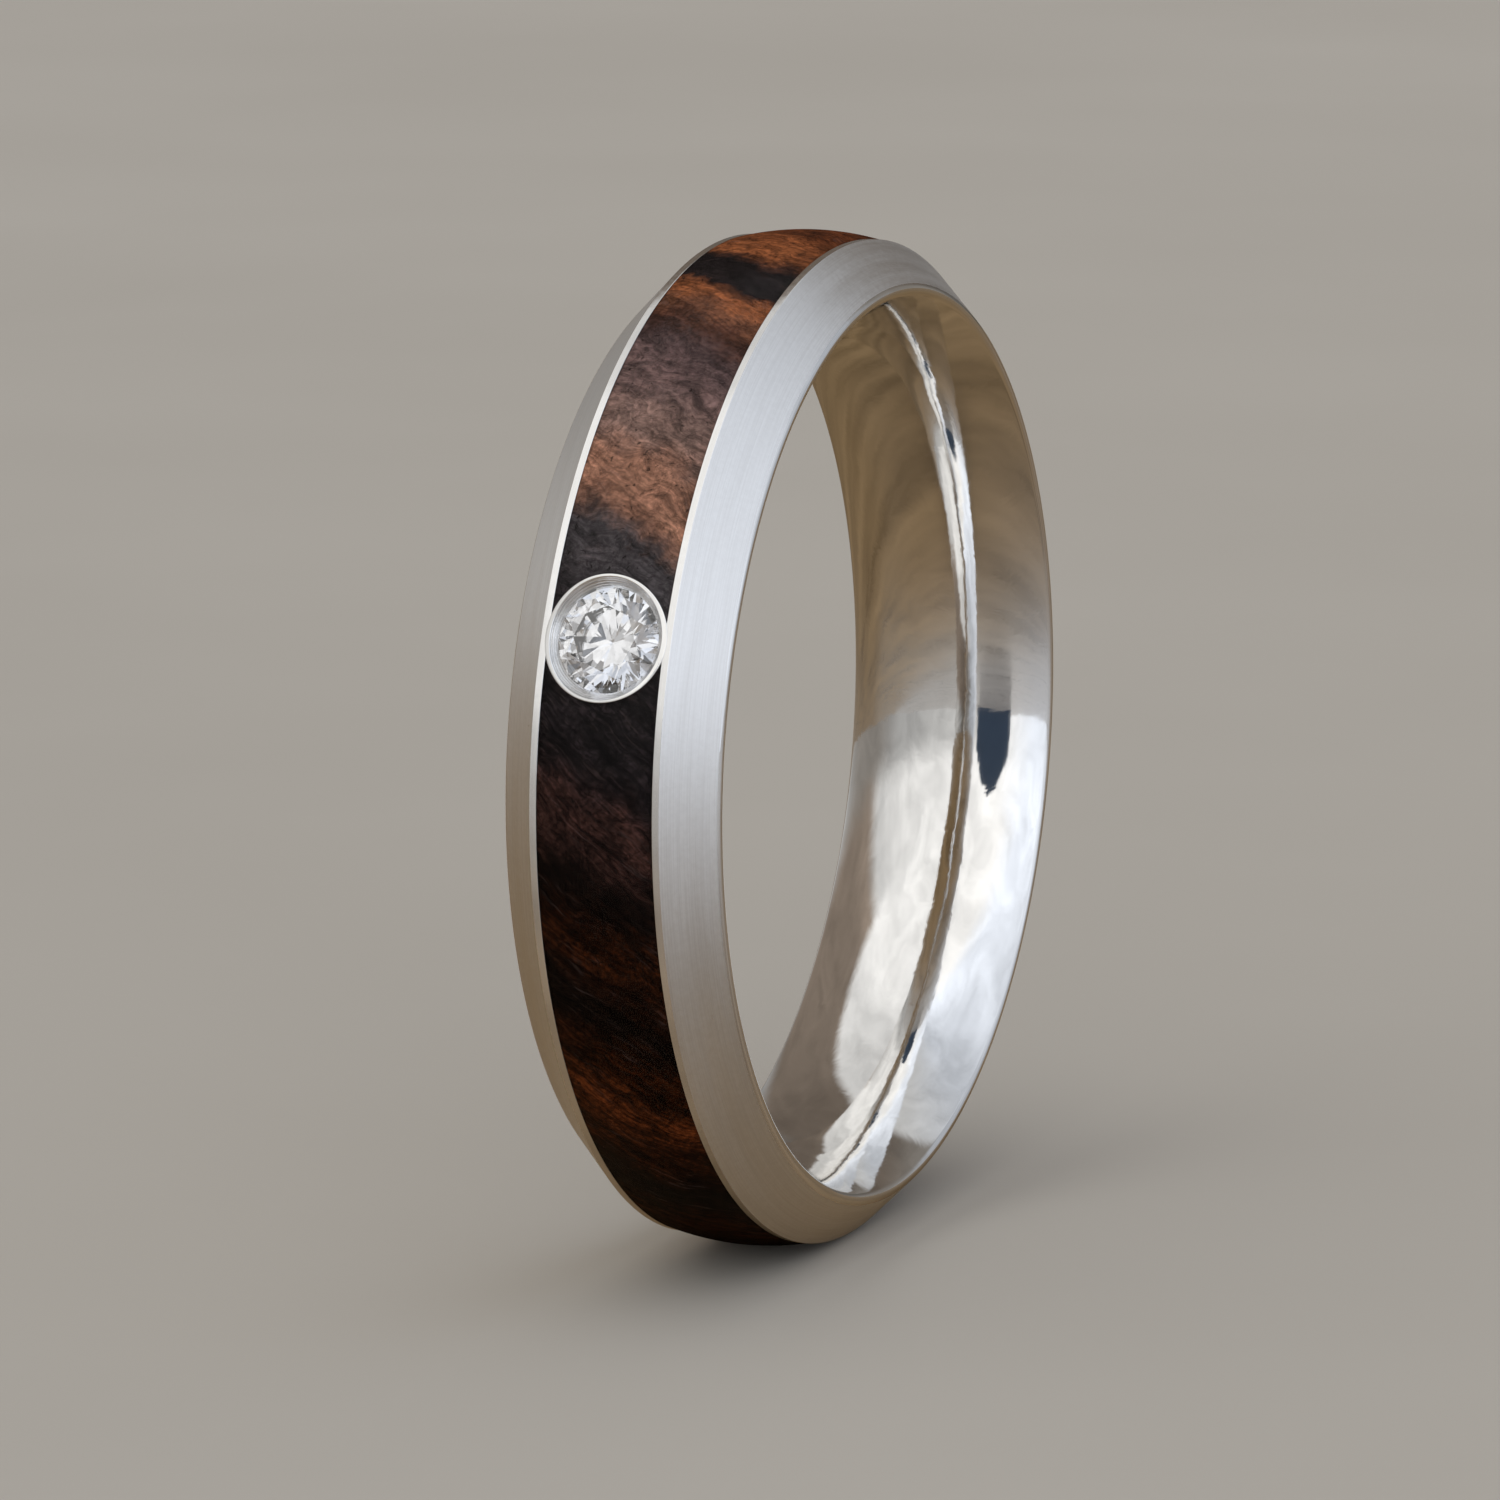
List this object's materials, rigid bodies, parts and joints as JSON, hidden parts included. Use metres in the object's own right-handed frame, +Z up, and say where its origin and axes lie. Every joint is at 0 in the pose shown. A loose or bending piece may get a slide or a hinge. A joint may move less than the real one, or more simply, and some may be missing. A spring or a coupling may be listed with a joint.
{
  "type": "wedding band",
  "caption": "Comfort-fit wedding band with bevelled metal edges, a domed burl wood inlay and one round brilliant in a flush bezel.",
  "frame": {"origin": "centre of the finger hole, on the ring's axis and midway along its width", "axes": "+X along the ring's axis; +Z up with the ring standing on its edge; the stone faces -Y, raised 20.2 degrees above the horizontal"},
  "size_m": [0.0046, 0.0208, 0.0208],
  "materials": {
    "polished_silver": "mirror polished",
    "satin_silver": "satin, brushed around the ring, with polished rims",
    "bright_silver": "bright cut",
    "adhesive": "cured",
    "burl_wood": "fine sanded burl",
    "clear_finish": "satin gloss",
    "diamond": "polished facets"
  },
  "bodies": {
    "root": {"comfort_liner": "polished_silver", "edge_ring_left": "satin_silver", "edge_ring_right": "satin_silver", "inlay_bond": "adhesive", "wood_inlay_upper": "burl_wood", "wood_inlay_lower": "burl_wood", "clear_coat": "clear_finish", "bezel_cup": "bright_silver", "brilliant_stone": "diamond"}
  },
  "joints": []
}
